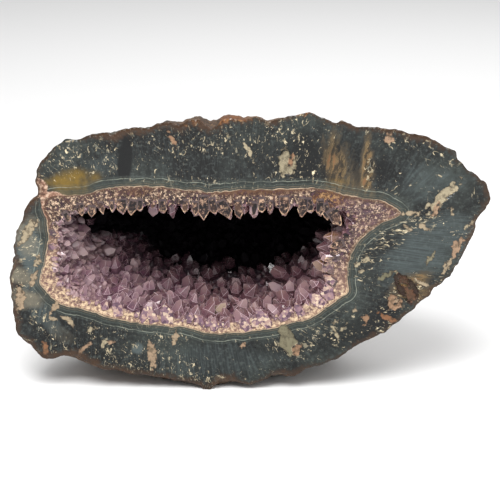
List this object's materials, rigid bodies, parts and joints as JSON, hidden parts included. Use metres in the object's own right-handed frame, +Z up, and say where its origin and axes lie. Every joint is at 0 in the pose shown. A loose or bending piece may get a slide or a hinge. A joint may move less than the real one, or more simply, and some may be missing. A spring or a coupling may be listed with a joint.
{
  "type": "geode half",
  "caption": "Half of an amethyst geode with a polished cut face, a lumpy natural rind and a deep crystal-lined hollow, standing upright as an ornament.",
  "frame": {"origin": "bottom centre of the stone: mid width, mid depth, on the surface that it stands on", "axes": "+Z up, +X to the right across the longest side, the polished face looks along -Y"},
  "size_m": [0.3014, 0.1158, 0.181],
  "materials": {
    "banded_rock": "sawn face polished, natural rind rough",
    "amethyst": "natural crystal faces, translucent purple"
  },
  "bodies": {
    "root": {"stone_shell": "banded_rock", "crystal_crust": "amethyst"}
  },
  "joints": []
}
